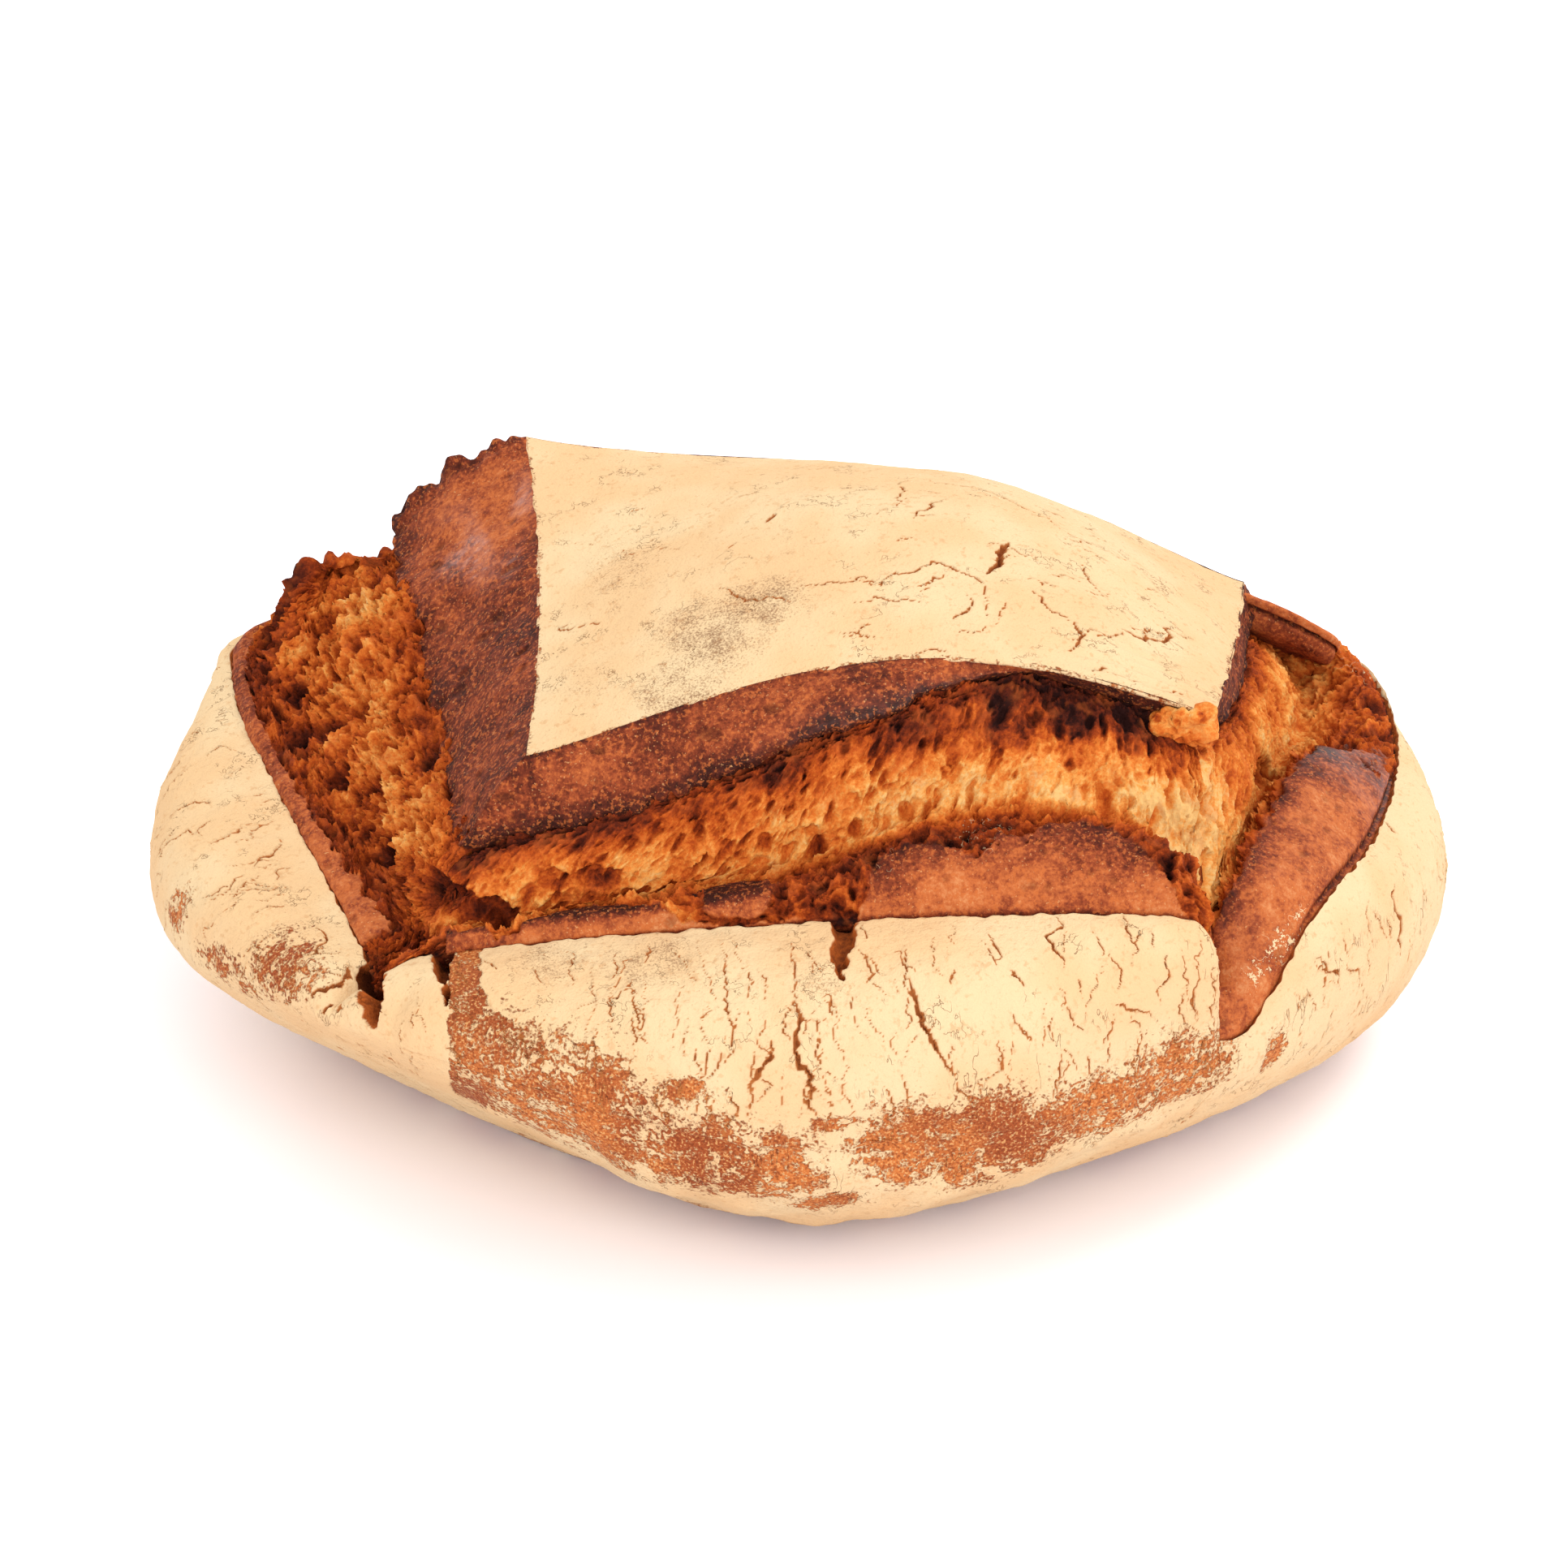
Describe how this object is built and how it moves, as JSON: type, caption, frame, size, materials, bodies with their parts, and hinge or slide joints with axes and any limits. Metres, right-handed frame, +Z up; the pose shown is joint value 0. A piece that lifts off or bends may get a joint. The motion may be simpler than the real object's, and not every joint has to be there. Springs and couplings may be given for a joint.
{
  "type": "sourdough loaf",
  "caption": "Large rustic floured sourdough loaf, slashed in a square so that its domed lid has lifted off the torn crumb. One solid.",
  "frame": {"origin": "centre of the loaf's footprint, on the flat of its base", "axes": "+X along the loaf's long side, towards its right when seen from the front, +Y towards the back, +Z up out of the lid"},
  "size_m": [0.2919, 0.2295, 0.1277],
  "materials": {
    "crust": "matte floured crust with browned bands and torn crumb"
  },
  "bodies": {
    "root": {"loaf": "crust"}
  },
  "joints": []
}
